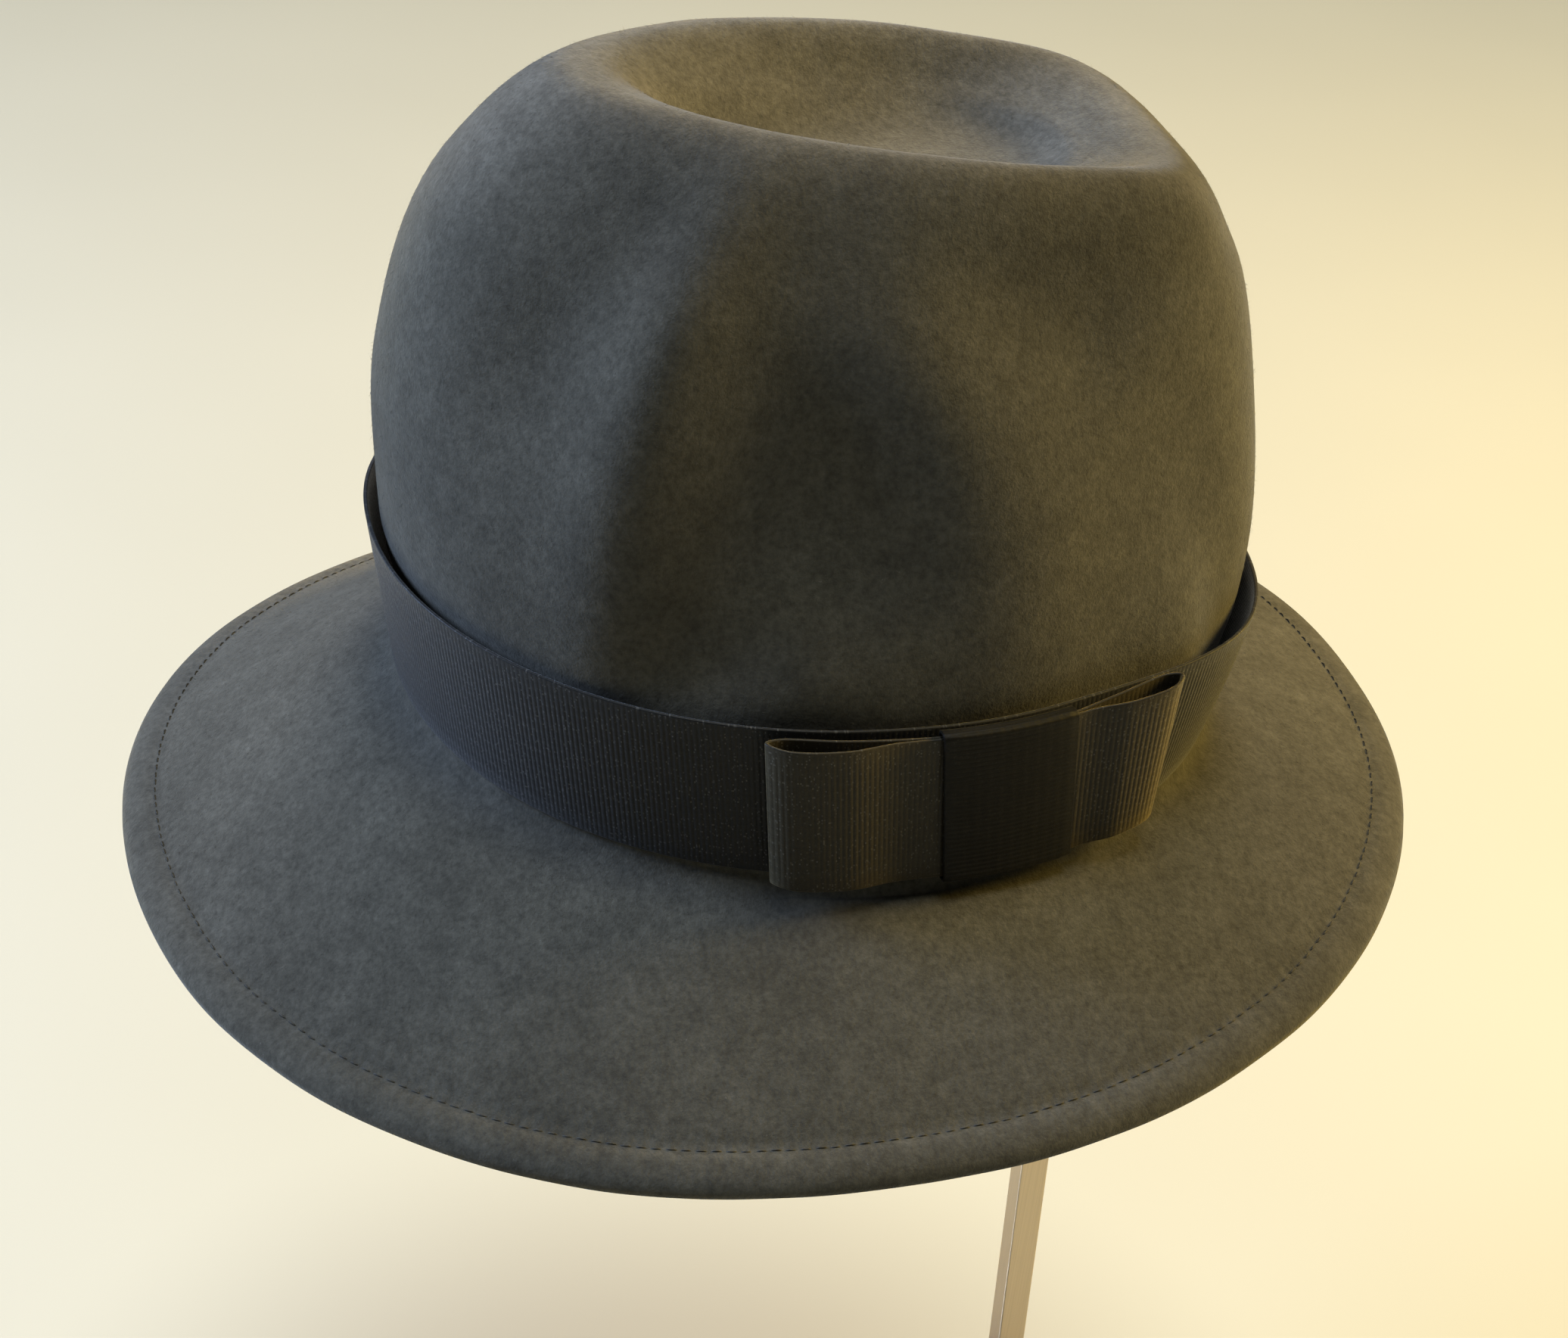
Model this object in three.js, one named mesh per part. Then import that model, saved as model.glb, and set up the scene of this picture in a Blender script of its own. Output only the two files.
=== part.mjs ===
// A felt fedora with a ribbon band and a flat bow, on a plain bar stand.
// Millimetres, +Z up. -Y is the front of the hat and +X the wearer's left, where the bow sits.
// Heights in the tables are measured from the brim break, the line where the crown meets the brim.
import * as THREE from 'three';

// Driving sizes
const BREAK_HEIGHT = 320;
const FELT = 2.0;
const CLEAR = 0.3;
const AZIMUTH_STEPS = 64;
const OVAL_POWER = 2.15;
const SQUARE_FROM = 0.35;
const RIGHT_SIDE_DENTS = 0.8;

// Rings of the hat's outer surface, from the middle of the top dent out to the brim's edge.
// Each ring is an oval: wide is its half width along X and long its half length along Y, shift moves
// its centre towards the back, and taper narrows its front. level is its mean height: back is added
// at the back and taken off at the front, side is added at both sides and taken off at both ends.
// square raises the oval's power at the back, which fills out the two back corners.
// A column left out is 0. steps counts the facets from the ring to the next one.
const RINGS = [
  { name: 'dent middle', wide: 0, long: 0, shift: 2, level: 128.3, steps: 1 },
  { name: 'dent floor', wide: 17, long: 36, shift: 2, taper: 0.46, level: 129.4, back: -0.5, steps: 3 },
  {
    name: 'dent wall', wide: 26.5, long: 50.5, shift: -1, taper: 0.42, level: 138.9, back: -6,
    side: -2, steps: 3,
  },
  {
    name: 'rim', wide: 38, long: 66, shift: -0.7, taper: 0.24, level: 146.2, back: -6,
    side: 1.1, square: 1.1, steps: 4,
  },
  {
    name: 'shoulder', wide: 58.5, long: 89.4, shift: -3.7, taper: 0.07, level: 123.6, back: -5.1,
    square: 0.4, steps: 4,
  },
  {
    name: 'upper wall', wide: 79.3, long: 101.2, shift: -4.9, taper: 0.02, level: 83.9, back: 0.2,
    square: 0.2, steps: 3,
  },
  { name: 'middle wall', wide: 84.6, long: 102, shift: -3.7, level: 55, side: -1, square: 0.6, steps: 2 },
  { name: 'lower wall', wide: 86.4, long: 100.9, shift: -2.5, level: 34, side: -2, square: 0.5, steps: 1 },
  { name: 'band middle', wide: 86.4, long: 98.1, shift: 0, level: 16, side: -2.6, square: 0.1, steps: 1 },
  { name: 'band seat', wide: 86.6, long: 98.9, shift: 0, level: 0, side: -3.1, steps: 2 },
  { name: 'break', wide: 88.6, long: 101, shift: 0, level: -4.2, side: -3.2, steps: 2 },
  { name: 'inner brim', wide: 97, long: 110, shift: -1.4, level: -8, back: 1.8, side: -3.5, steps: 2 },
  { name: 'middle brim', wide: 121, long: 132.5, shift: -4.6, level: -20.4, back: 8.2, side: -4.5, steps: 2 },
  {
    name: 'stitch groove', wide: 138.5, long: 148.9, shift: -7, level: -30.3, back: 13, side: -5.3,
    steps: 0,
  },
];
const BRIM_EDGE = { wide: 147.2, long: 157.6, shift: -7.8, level: -36.2, back: 14.5, side: -5.5 };

// Section of the folded and stitched edge: out from the groove towards the edge, up from that line.
const WELT_SECTION = [
  { out: 1.6, up: 0.75 },
  { out: 4.2, up: 1.25 },
  { out: 7.2, up: 1.35 },
  { out: 9.4, up: 0.6 },
  { out: 10.55, up: -0.8 },
  { out: 9.6, up: -2.3 },
  { out: 7.2, up: -2.9 },
  { out: 3.6, up: -3.2 },
  { out: -1.2, up: -3.9 },
  { out: -1.3, up: -2.0 },
];

// Dents pressed into the crown's wall. Depth is inward, so a negative one is a swelling.
// at is the azimuth in degrees from +X (negative towards the front), level the height of the deepest
// point, front, back, above and below the spreads on those sides, lean the slant towards the back.
const DENTS = [
  {
    name: 'side', at: -10.6, level: 79, depth: 13.5, front: 20, back: 20.7,
    above: 22, below: 18.8, lean: 0.06,
  },
  {
    name: 'ridge', at: -31.6, level: 98, depth: -5.4, front: 9, back: 9.8,
    above: 34.4, below: 31, lean: 0.21,
  },
  {
    name: 'front', at: -54.8, level: 95, depth: 4.3, front: 17.6, back: 14.8,
    above: 22.2, below: 28.5, lean: 0.07,
  },
  {
    name: 'rear lobe', at: 0.7, level: 102, depth: -3.9, front: 12.6, back: 9.7,
    above: 15.4, below: 26, lean: -0.16,
  },
  {
    name: 'rear hollow', at: 41.7, level: 82, depth: 8, front: 21, back: 17,
    above: 22, below: 33, lean: -0.14,
  },
  {
    name: 'rear dip', at: 22, level: 111.5, depth: 3.2, front: 13.8, back: 13.6,
    above: 11, below: 22.8, lean: 0,
  },
  {
    name: 'back corner', at: 41.4, level: 41, depth: -3.3, front: 10.2, back: 9,
    above: 17.7, below: 20, lean: 0,
  },
  {
    name: 'band fold', at: -26.2, level: 46.3, depth: 2.6, front: 8.5, back: 9,
    above: 13, below: 9.5, lean: 0.13,
  },
];
const DENT_ARC = 90;

// Ribbon band: its two edges as ovals on the outer face; the top edge stands off at front and back.
const BAND = {
  thickness: 1.0,
  height: 38.8,
  base: -0.35,
  sideRise: -3.0,
  rows: 3,
  low: { halfWidth: 88.05, halfLength: 100.35, shift: 0, square: 0 },
  high: { halfWidth: 88.25, halfLength: 103.75, shift: -4, square: 1 },
};

// Flat bow on the band: one folded ribbon with two loops and a knot ribbon wrapped round it.
// From the knot's edge out each loop rises a little, to its full rise at its end. The knot's lean is how
// far its top lies further to the front than its bottom.
const BOW_AZIMUTH = 12.2;
const BOW_FRONT_REACH = 53.8;
const BOW_BACK_REACH = 41.5;
const BOW_RIBBON = 0.8;
const BOW_STEPS = 76;
const BOW_LOW = 0.2;
const BOW_WIDTH = 37.4;
const BOW_FRONT_RISE = 0.5;
const BOW_BACK_RISE = 3.2;
const BOW_RISE_FROM = 18;
// Half of the folded ribbon's centre line: share of the reach along the band from the knot, and
// millimetres out from the band's face. The front half has the front reach, the back half the back one.
const BOW_LOOP = [
  { reach: 0, out: 1.9 },
  { reach: 0.42, out: 1.9 },
  { reach: 0.7, out: 2.0 },
  { reach: 0.94, out: 2.3 },
  { reach: 1, out: 4.2 },
  { reach: 0.93, out: 6.7 },
  { reach: 0.7, out: 6.2 },
  { reach: 0.46, out: 3.15 },
  { reach: 0, out: 3.0 },
];
const KNOT_HALF_WIDTH = 16;
const KNOT_SHIFT = 0.3;
const KNOT_LEAN = 1.1;
const KNOT_STEPS = 6;
const KNOT_BACK = 0.7;
const KNOT_FRONT = 4.1;
const KNOT_OVER = 1.0;
const KNOT_CORNER = 1.2;

// Stand: a flat base, a bar that leans a little towards the back at its foot, and a flat rest in the crown.
const BASE_WIDTH = 120;
const BASE_LENGTH = 220;
const BASE_THICKNESS = 8;
const BASE_CORNER = 6;
const POST_SIDE = 8;
const POST_CORNER = 0.5;
const POST_TOP_Y = 73.6;
const POST_FOOT_Y = 91;
const REST_WIDTH = 44;
const REST_FRONT = -46;
const REST_BACK = 77.9;
const REST_THICKNESS = 3;
const REST_TOP = 125.2;

const RAD = Math.PI / 180;

function signedPower(value, power) {
  return Math.sign(value) * Math.abs(value) ** power;
}

// A point on a flat oval of unit half sizes, squarer at the back.
function ovalPoint(azimuth, square) {
  const c = Math.cos(azimuth);
  const s = Math.sin(azimuth);
  const power = OVAL_POWER + square * THREE.MathUtils.smoothstep(s, SQUARE_FROM, 1);
  return new THREE.Vector2(signedPower(c, 2 / power), signedPower(s, 2 / power));
}

// A point on a ring at an azimuth.
function ringPoint(ring, azimuth) {
  const oval = ovalPoint(azimuth, ring.square ?? 0);
  const s = Math.sin(azimuth);
  const x = ring.wide * oval.x * (1 + (ring.taper ?? 0) * s);
  const y = ring.shift + ring.long * oval.y;
  const z = ring.level + ring.back * s + ring.side * Math.cos(2 * azimuth);
  return new THREE.Vector3(x, y, z);
}

// Smooth loft between the rings: every column is a spline over the length of the side profile.
const COLUMNS = ['wide', 'long', 'shift', 'taper', 'level', 'back', 'side', 'square'];

function loftSpline(rings) {
  const station = [0];
  for (let i = 1; i < rings.length; i++) {
    const length = Math.hypot(rings[i].wide - rings[i - 1].wide, rings[i].level - rings[i - 1].level);
    station.push(station[i - 1] + Math.max(4, length) ** 0.75);
  }
  const value = (i, column) => rings[i][column] ?? 0;
  const slope = (i, column) => (value(i + 1, column) - value(i, column)) / (station[i + 1] - station[i]);
  const tangent = (i, column) => {
    if (i === 0) {
      return column === 'wide' || column === 'long' ? slope(0, column) : 0;
    }
    if (i === rings.length - 1) {
      return slope(i - 1, column);
    }
    const before = station[i] - station[i - 1];
    const after = station[i + 1] - station[i];
    return (slope(i - 1, column) * after + slope(i, column) * before) / (before + after);
  };
  return (place) => {
    const i = Math.min(Math.floor(place), rings.length - 2);
    const t = place - i;
    const span = station[i + 1] - station[i];
    const ring = {};
    for (const column of COLUMNS) {
      const start = value(i, column);
      const end = value(i + 1, column);
      const bend = tangent(i, column) * span;
      const bendEnd = tangent(i + 1, column) * span;
      ring[column] = (2 * t ** 3 - 3 * t ** 2 + 1) * start + (t ** 3 - 2 * t ** 2 + t) * bend
        + (3 * t ** 2 - 2 * t ** 3) * end + (t ** 3 - t ** 2) * bendEnd;
    }
    return ring;
  };
}

const ringAt = loftSpline(RINGS);

// How far the crown's wall is pressed in at an azimuth and level. Both sides are pinched alike,
// the right side a little less.
function pressedIn(azimuth, level) {
  const folded = Math.atan2(Math.sin(azimuth), Math.abs(Math.cos(azimuth))) / RAD;
  let sum = 0;
  for (const dent of DENTS) {
    const rise = level - dent.level;
    const along = (folded - dent.at) * RAD * DENT_ARC - dent.lean * rise;
    const across = along / (along < 0 ? dent.front : dent.back);
    const upward = rise / (rise < 0 ? dent.below : dent.above);
    sum += dent.depth * Math.exp(-0.5 * (across ** 2 + upward ** 2));
  }
  const side = (1 + RIGHT_SIDE_DENTS) / 2 + Math.cos(azimuth) * (1 - RIGHT_SIDE_DENTS) / 2;
  return sum * side;
}

// The felt's outer surface. place counts rings from the middle of the top dent.
function outerFelt(azimuth, place) {
  const p = ringPoint(ringAt(place), azimuth);
  const belowRim = THREE.MathUtils.smoothstep(place, 2.6, 4);
  const aboveBand = 1 - THREE.MathUtils.smoothstep(place, 7.2, 8);
  const depth = pressedIn(azimuth, p.z) * belowRim * aboveBand;
  const radius = Math.hypot(p.x, p.y) || 1;
  p.x -= depth * p.x / radius;
  p.y -= depth * p.y / radius;
  return p;
}

function feltNormal(azimuth, place) {
  if (place < 1e-6) {
    return new THREE.Vector3(0, 0, 1);
  }
  const step = 1e-3;
  const last = RINGS.length - 1;
  const round = outerFelt(azimuth + step, place).sub(outerFelt(azimuth - step, place));
  const inward = outerFelt(azimuth, Math.max(place - step, 0));
  const outward = outerFelt(azimuth, Math.min(place + step, last));
  return outward.sub(inward).cross(round).normalize();
}

// Closed surface from a grid of rings; a ring of one point is a pole.
function gridSolid(rings, wrapRings) {
  const positions = [];
  const index = [];
  const starts = [];
  for (const ring of rings) {
    starts.push(positions.length / 3);
    for (const p of ring) {
      positions.push(p.x, p.y, p.z);
    }
  }
  const bands = wrapRings ? rings.length : rings.length - 1;
  for (let r = 0; r < bands; r++) {
    const a = rings[r];
    const b = rings[(r + 1) % rings.length];
    const startA = starts[r];
    const startB = starts[(r + 1) % rings.length];
    const count = Math.max(a.length, b.length);
    for (let i = 0; i < count; i++) {
      const j = (i + 1) % count;
      if (a.length === 1) {
        index.push(startA, startB + i, startB + j);
      } else if (b.length === 1) {
        index.push(startA + i, startB, startA + j);
      } else {
        index.push(startA + i, startB + i, startB + j);
        index.push(startA + i, startB + j, startA + j);
      }
    }
  }
  const geometry = new THREE.BufferGeometry();
  geometry.setAttribute('position', new THREE.Float32BufferAttribute(positions, 3));
  geometry.setIndex(index);
  geometry.computeVertexNormals();
  return geometry;
}

// Places of the facet rings along the outer surface.
function facetPlaces() {
  const places = [];
  RINGS.forEach((ring, i) => {
    for (let k = 0; k < ring.steps; k++) {
      places.push(i + k / ring.steps);
    }
  });
  places.push(RINGS.length - 1);
  return places;
}

function azimuths(count) {
  return Array.from({ length: count }, (_, i) => (i / count) * 2 * Math.PI);
}

// Points of the folded edge at one azimuth.
function weltPoints(azimuth) {
  const groove = outerFelt(azimuth, RINGS.length - 1);
  const edge = ringPoint(BRIM_EDGE, azimuth);
  const out = edge.clone().sub(groove).normalize();
  const round = ringPoint(BRIM_EDGE, azimuth + 1e-3).sub(ringPoint(BRIM_EDGE, azimuth - 1e-3));
  const up = out.clone().cross(round).normalize();
  return WELT_SECTION.map((p) => groove.clone().addScaledVector(out, p.out).addScaledVector(up, p.up));
}

// Crown and brim: one piece of blocked felt, hollow, with the edge folded under.
function feltBody() {
  const places = facetPlaces();
  const around = azimuths(AZIMUTH_STEPS);
  const rings = [];
  for (const place of places) {
    rings.push(place === 0 ? [outerFelt(0, 0)] : around.map((a) => outerFelt(a, place)));
  }
  const welts = around.map(weltPoints);
  WELT_SECTION.forEach((_, k) => rings.push(welts.map((points) => points[k])));
  for (const place of places.slice(0, -1).reverse()) {
    const inner = (a) => outerFelt(a, place).addScaledVector(feltNormal(a, place), -FELT);
    rings.push(place === 0 ? [inner(0)] : around.map(inner));
  }
  return gridSolid(rings, false);
}

// A point on the band: azimuth, height from 0 at its lower edge to 1 at its upper, out from its outer face.
function bandPoint(azimuth, height, out) {
  const between = (column) => BAND.low[column] + (BAND.high[column] - BAND.low[column]) * height;
  const half = new THREE.Vector2(between('halfWidth'), between('halfLength'));
  const square = between('square');
  const oval = (a) => ovalPoint(a, square).multiply(half);
  const step = 2e-3;
  const along = oval(azimuth + step).sub(oval(azimuth - step)).normalize();
  const p = oval(azimuth);
  const z = BAND.base + BAND.sideRise * Math.cos(2 * azimuth) + height * BAND.height;
  return new THREE.Vector3(p.x + along.y * out, p.y + between('shift') - along.x * out, z);
}

function hatband() {
  const around = azimuths(AZIMUTH_STEPS);
  const rings = [];
  for (let k = 0; k <= BAND.rows; k++) {
    rings.push(around.map((a) => bandPoint(a, 1 - k / BAND.rows, 0)));
  }
  for (let k = 0; k <= BAND.rows; k++) {
    rings.push(around.map((a) => bandPoint(a, k / BAND.rows, -BAND.thickness)));
  }
  return gridSolid(rings, true);
}

// Azimuth of a point some millimetres along the band from the bow's middle.
function azimuthAlong(distance) {
  const step = 0.5 * Math.sign(distance);
  let azimuth = BOW_AZIMUTH * RAD;
  for (let gone = 0; gone < Math.abs(distance) - 1e-9; gone += 0.5) {
    const share = Math.min(1, (Math.abs(distance) - gone) / 0.5);
    const speed = bandPoint(azimuth + 1e-3, 0.5, 0).distanceTo(bandPoint(azimuth - 1e-3, 0.5, 0)) / 2e-3;
    azimuth += share * step / speed;
  }
  return azimuth;
}

// How far a loop has risen at a distance along the band from the bow's middle.
function loopRise(along) {
  const reach = along < 0 ? BOW_FRONT_REACH : BOW_BACK_REACH;
  const rise = along < 0 ? BOW_FRONT_RISE : BOW_BACK_RISE;
  return rise * Math.max(0, (Math.abs(along) - BOW_RISE_FROM) / (reach - BOW_RISE_FROM));
}

// The folded ribbon of the bow: a closed ring in plan, as high as the ribbon is wide.
function bowLoops() {
  const back = BOW_LOOP.map((p) => new THREE.Vector3(p.reach * BOW_BACK_REACH, p.out, 0));
  const front = BOW_LOOP.map((p) => new THREE.Vector3(-p.reach * BOW_FRONT_REACH, p.out, 0));
  const curve = new THREE.CatmullRomCurve3([...back, ...front.slice(1, -1).reverse()], true, 'centripetal');
  const corners = [[], [], [], []];
  for (let i = 0; i < BOW_STEPS; i++) {
    const p = curve.getPointAt(i / BOW_STEPS);
    const t = curve.getTangentAt(i / BOW_STEPS);
    const place = (side, across) => {
      const along = p.x + side * t.y * BOW_RIBBON / 2;
      const out = p.y - side * t.x * BOW_RIBBON / 2;
      const up = BOW_LOW + across * BOW_WIDTH + loopRise(along);
      return bandPoint(azimuthAlong(along), up / BAND.height, out);
    };
    corners[0].push(place(-1, 1));
    corners[1].push(place(-1, 0));
    corners[2].push(place(1, 0));
    corners[3].push(place(1, 1));
  }
  return gridSolid(corners, true);
}

// Rounded oblong section of the knot ribbon, height against distance out from the band.
function knotSection(offset) {
  const low = BOW_LOW - KNOT_OVER - offset;
  const high = BOW_LOW + BOW_WIDTH + KNOT_OVER + offset;
  const back = KNOT_BACK - offset;
  const front = KNOT_FRONT + offset;
  const radius = KNOT_CORNER + offset;
  const centres = [
    { out: front - radius, up: high - radius, from: 0 },
    { out: back + radius, up: high - radius, from: 90 },
    { out: back + radius, up: low + radius, from: 180 },
    { out: front - radius, up: low + radius, from: 270 },
  ];
  const points = [];
  for (const corner of centres) {
    for (const turn of [0, 30, 60, 90]) {
      const angle = (corner.from + turn) * RAD;
      points.push({ out: corner.out + radius * Math.cos(angle), up: corner.up + radius * Math.sin(angle) });
    }
  }
  return points;
}

function bowKnot() {
  const outer = knotSection(BOW_RIBBON / 2);
  const inner = knotSection(-BOW_RIBBON / 2);
  const rings = [];
  const ring = (section, along) => section.map((p) => {
    const lean = ((p.up - BOW_LOW) / BOW_WIDTH - 0.5) * KNOT_LEAN;
    return bandPoint(azimuthAlong(along + KNOT_SHIFT - lean), p.up / BAND.height, p.out);
  });
  for (let k = 0; k <= KNOT_STEPS; k++) {
    rings.push(ring(outer, KNOT_HALF_WIDTH * (2 * k / KNOT_STEPS - 1)));
  }
  for (let k = 0; k <= KNOT_STEPS; k++) {
    rings.push(ring(inner, KNOT_HALF_WIDTH * (1 - 2 * k / KNOT_STEPS)));
  }
  return gridSolid(rings, true);
}

// A flat plate or bar with rounded corners, standing on the plane z = 0.
function roundedPlate(width, length, thickness, radius) {
  const shape = new THREE.Shape();
  const x = width / 2 - radius;
  const y = length / 2 - radius;
  shape.absarc(x, y, radius, 0, Math.PI / 2);
  shape.absarc(-x, y, radius, Math.PI / 2, Math.PI);
  shape.absarc(-x, -y, radius, Math.PI, 1.5 * Math.PI);
  shape.absarc(x, -y, radius, 1.5 * Math.PI, 2 * Math.PI);
  shape.closePath();
  return new THREE.ExtrudeGeometry(shape, { depth: thickness, bevelEnabled: false, curveSegments: 5 });
}

function finish(name, color, roughness, metalness) {
  return new THREE.MeshStandardMaterial({ name, color, roughness, metalness });
}

const felt = finish('grey felt', 0x4b483f, 0.95, 0);
const ribbon = finish('black grosgrain', 0x141416, 0.6, 0);
const nickel = finish('satin nickel', 0xb9b2a6, 0.35, 1);

const fedora = new THREE.Group();
fedora.name = 'fedora_on_stand';

function add(name, geometry, material, x, y, z) {
  const mesh = new THREE.Mesh(geometry, material);
  mesh.name = name;
  mesh.position.set(x, y, z);
  fedora.add(mesh);
}

const base = roundedPlate(BASE_WIDTH, BASE_LENGTH, BASE_THICKNESS, BASE_CORNER);
const restHeight = BREAK_HEIGHT + REST_TOP - REST_THICKNESS;
const postHeight = BASE_THICKNESS + CLEAR;
const postLength = restHeight - CLEAR - postHeight;
const postSlope = (POST_TOP_Y - POST_FOOT_Y) / postLength;
const post = roundedPlate(POST_SIDE, POST_SIDE, postLength, POST_CORNER);
post.applyMatrix4(new THREE.Matrix4().makeShear(0, 0, 0, 0, 0, postSlope));
const rest = roundedPlate(REST_WIDTH, REST_BACK - REST_FRONT, REST_THICKNESS, REST_WIDTH / 2 - 1);
add('felt_body', feltBody(), felt, 0, 0, BREAK_HEIGHT);
add('hatband', hatband(), ribbon, 0, 0, BREAK_HEIGHT);
add('bow_loops', bowLoops(), ribbon, 0, 0, BREAK_HEIGHT);
add('bow_knot', bowKnot(), ribbon, 0, 0, BREAK_HEIGHT);
add('stand_base', base, nickel, 0, 0, 0);
add('stand_post', post, nickel, 0, POST_FOOT_Y, postHeight);
add('stand_rest', rest, nickel, 0, (REST_BACK + REST_FRONT) / 2, restHeight);

export default fedora;
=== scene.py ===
import math

import bpy
import numpy as np
from mathutils import Matrix, Vector


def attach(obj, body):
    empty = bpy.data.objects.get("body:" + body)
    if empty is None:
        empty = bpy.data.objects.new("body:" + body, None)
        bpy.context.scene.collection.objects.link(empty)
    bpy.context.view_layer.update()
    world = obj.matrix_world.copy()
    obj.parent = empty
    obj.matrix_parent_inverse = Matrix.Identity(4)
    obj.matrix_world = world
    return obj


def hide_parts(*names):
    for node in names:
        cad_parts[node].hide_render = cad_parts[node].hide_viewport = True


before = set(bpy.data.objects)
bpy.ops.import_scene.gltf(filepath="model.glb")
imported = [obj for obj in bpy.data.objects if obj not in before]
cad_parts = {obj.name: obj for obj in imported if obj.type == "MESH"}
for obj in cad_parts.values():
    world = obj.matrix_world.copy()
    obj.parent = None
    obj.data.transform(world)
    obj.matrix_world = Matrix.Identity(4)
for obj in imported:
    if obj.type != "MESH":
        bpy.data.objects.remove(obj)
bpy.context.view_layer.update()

# A felt fedora with a ribbon band and a flat bow, on a plain bar stand.
# Sizes are in millimetres; heights in the tables are measured from the brim break, where the crown
# meets the brim. -Y is the front of the hat and +X the wearer's left, where the bow sits.
BREAK_HEIGHT = 320
FELT = 2.0
OVAL_POWER = 2.15
SQUARE_FROM = 0.35
RIGHT_SIDE_DENTS = 0.8
SEED = 11

# Rings of the hat's outer surface from the middle of the top dent to the stitch groove: half width,
# half length, shift to the back, taper of the front, mean height, rise to the back, rise at the sides,
# and how much squarer the back is.
RINGS = np.array([
    (0, 0, 2, 0, 128.3, 0, 0, 0),                      # dent middle
    (17, 36, 2, 0.46, 129.4, -0.5, 0, 0),              # dent floor
    (26.5, 50.5, -1, 0.42, 138.9, -6, -2, 0),          # dent wall
    (38, 66, -0.7, 0.24, 146.2, -6, 1.1, 1.1),         # rim
    (58.5, 89.4, -3.7, 0.07, 123.6, -5.1, 0, 0.4),     # shoulder
    (79.3, 101.2, -4.9, 0.02, 83.9, 0.2, 0, 0.2),      # upper wall
    (84.6, 102, -3.7, 0, 55, 0, -1, 0.6),              # middle wall
    (86.4, 100.9, -2.5, 0, 34, 0, -2, 0.5),            # lower wall
    (86.4, 98.1, 0, 0, 16, 0, -2.6, 0.1),              # band middle
    (86.6, 98.9, 0, 0, 0, 0, -3.1, 0),                 # band seat
    (88.6, 101, 0, 0, -4.2, 0, -3.2, 0),               # break
    (97, 110, -1.4, 0, -8, 1.8, -3.5, 0),              # inner brim
    (121, 132.5, -4.6, 0, -20.4, 8.2, -4.5, 0),        # middle brim
    (138.5, 148.9, -7, 0, -30.3, 13, -5.3, 0),         # stitch groove
], float)
BRIM_EDGE = np.array([(147.2, 157.6, -7.8, 0, -36.2, 14.5, -5.5, 0)], float)
GROOVE = len(RINGS) - 1

# Dents pressed into the crown's wall, a negative depth being a swelling: azimuth in degrees from +X,
# height, depth, spreads to the front, back, above and below, and slant to the back.
DENTS = [
    (-10.6, 79, 13.5, 20, 20.7, 22, 18.8, 0.06),        # side
    (-31.6, 98, -5.4, 9, 9.8, 34.4, 31, 0.21),          # ridge
    (-54.8, 95, 4.3, 17.6, 14.8, 22.2, 28.5, 0.07),     # front
    (0.7, 102, -3.9, 12.6, 9.7, 15.4, 26, -0.16),       # rear lobe
    (41.7, 82, 8, 21, 17, 22, 33, -0.14),               # rear hollow
    (22, 111.5, 3.2, 13.8, 13.6, 11, 22.8, 0),          # rear dip
    (41.4, 41, -3.3, 10.2, 9, 17.7, 20, 0),             # back corner
    (-26.2, 46.3, 2.6, 8.5, 9, 13, 9.5, 0.13),          # band fold
]
# Radius that turns an azimuth into a distance along the wall, and the rings over which the dents fade
# in below the rim and out above the band.
DENT_ARC = 90
DENT_RINGS = (2.6, 4, 7.2, 8)
# Rings between which the felt is smooth, under the band.
SMOOTH_RINGS = (6.5, 7, 10.2, 11)

# Shallow press marks in the crown's wall, in the same columns as the dents.
PRESS_MARKS = [
    (-28, 50, 1.6, 7, 7, 12, 12, 0.2),
    (-20, 60, 1.5, 7, 7, 14, 14, 0.2),
    (-28, 60, -0.9, 7, 7, 7, 7, 0),
    (-12, 51, -1.1, 11, 11, 13, 13, 0),
    (12, 50, -0.9, 12, 12, 13, 13, 0),
    (-60, 51, -0.9, 11, 11, 9, 9, 0),
    (-28, 122, -1.5, 7, 7, 15, 15, 0.2),
    (-45, 114, 1.5, 10, 10, 11, 11, 0.2),
    (-52, 104, 1.1, 10, 10, 10, 10, 0.2),
    (12, 122, 1.6, 11, 11, 9, 9, 0),
    (28, 113, 1.2, 11, 11, 9, 9, 0),
    (12, 95, -1.0, 12, 12, 15, 15, 0),
    (-4, 77, -0.7, 11, 11, 9, 9, 0),
]

# Section of the folded edge: out from the stitch groove, up from the line to the edge.
WELT_SECTION = np.array([
    (0, 0), (1.6, 0.75), (4.2, 1.25), (7.2, 1.35), (9.4, 0.6), (10.55, -0.8),
    (9.6, -2.3), (7.2, -2.9), (3.6, -3.2), (-1.2, -3.9), (-1.3, -2.0),
], float)
# Stitches in the groove. Uneven shares are of a stitch's length, of the pitch and in millimetres.
STITCH_PITCH = 3.2
STITCH_LENGTH = 2.3
STITCH_OUT = 0.25
UNEVEN_LENGTH = 0.08
UNEVEN_PLACE = 0.04
UNEVEN_OUT = 0.1
THREAD_RADIUS = 0.2
THREAD_SINK = 0.08
THREAD_DIP = 0.32
THREAD_SECTIONS = 7
THREAD_SIDES = 6
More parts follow.
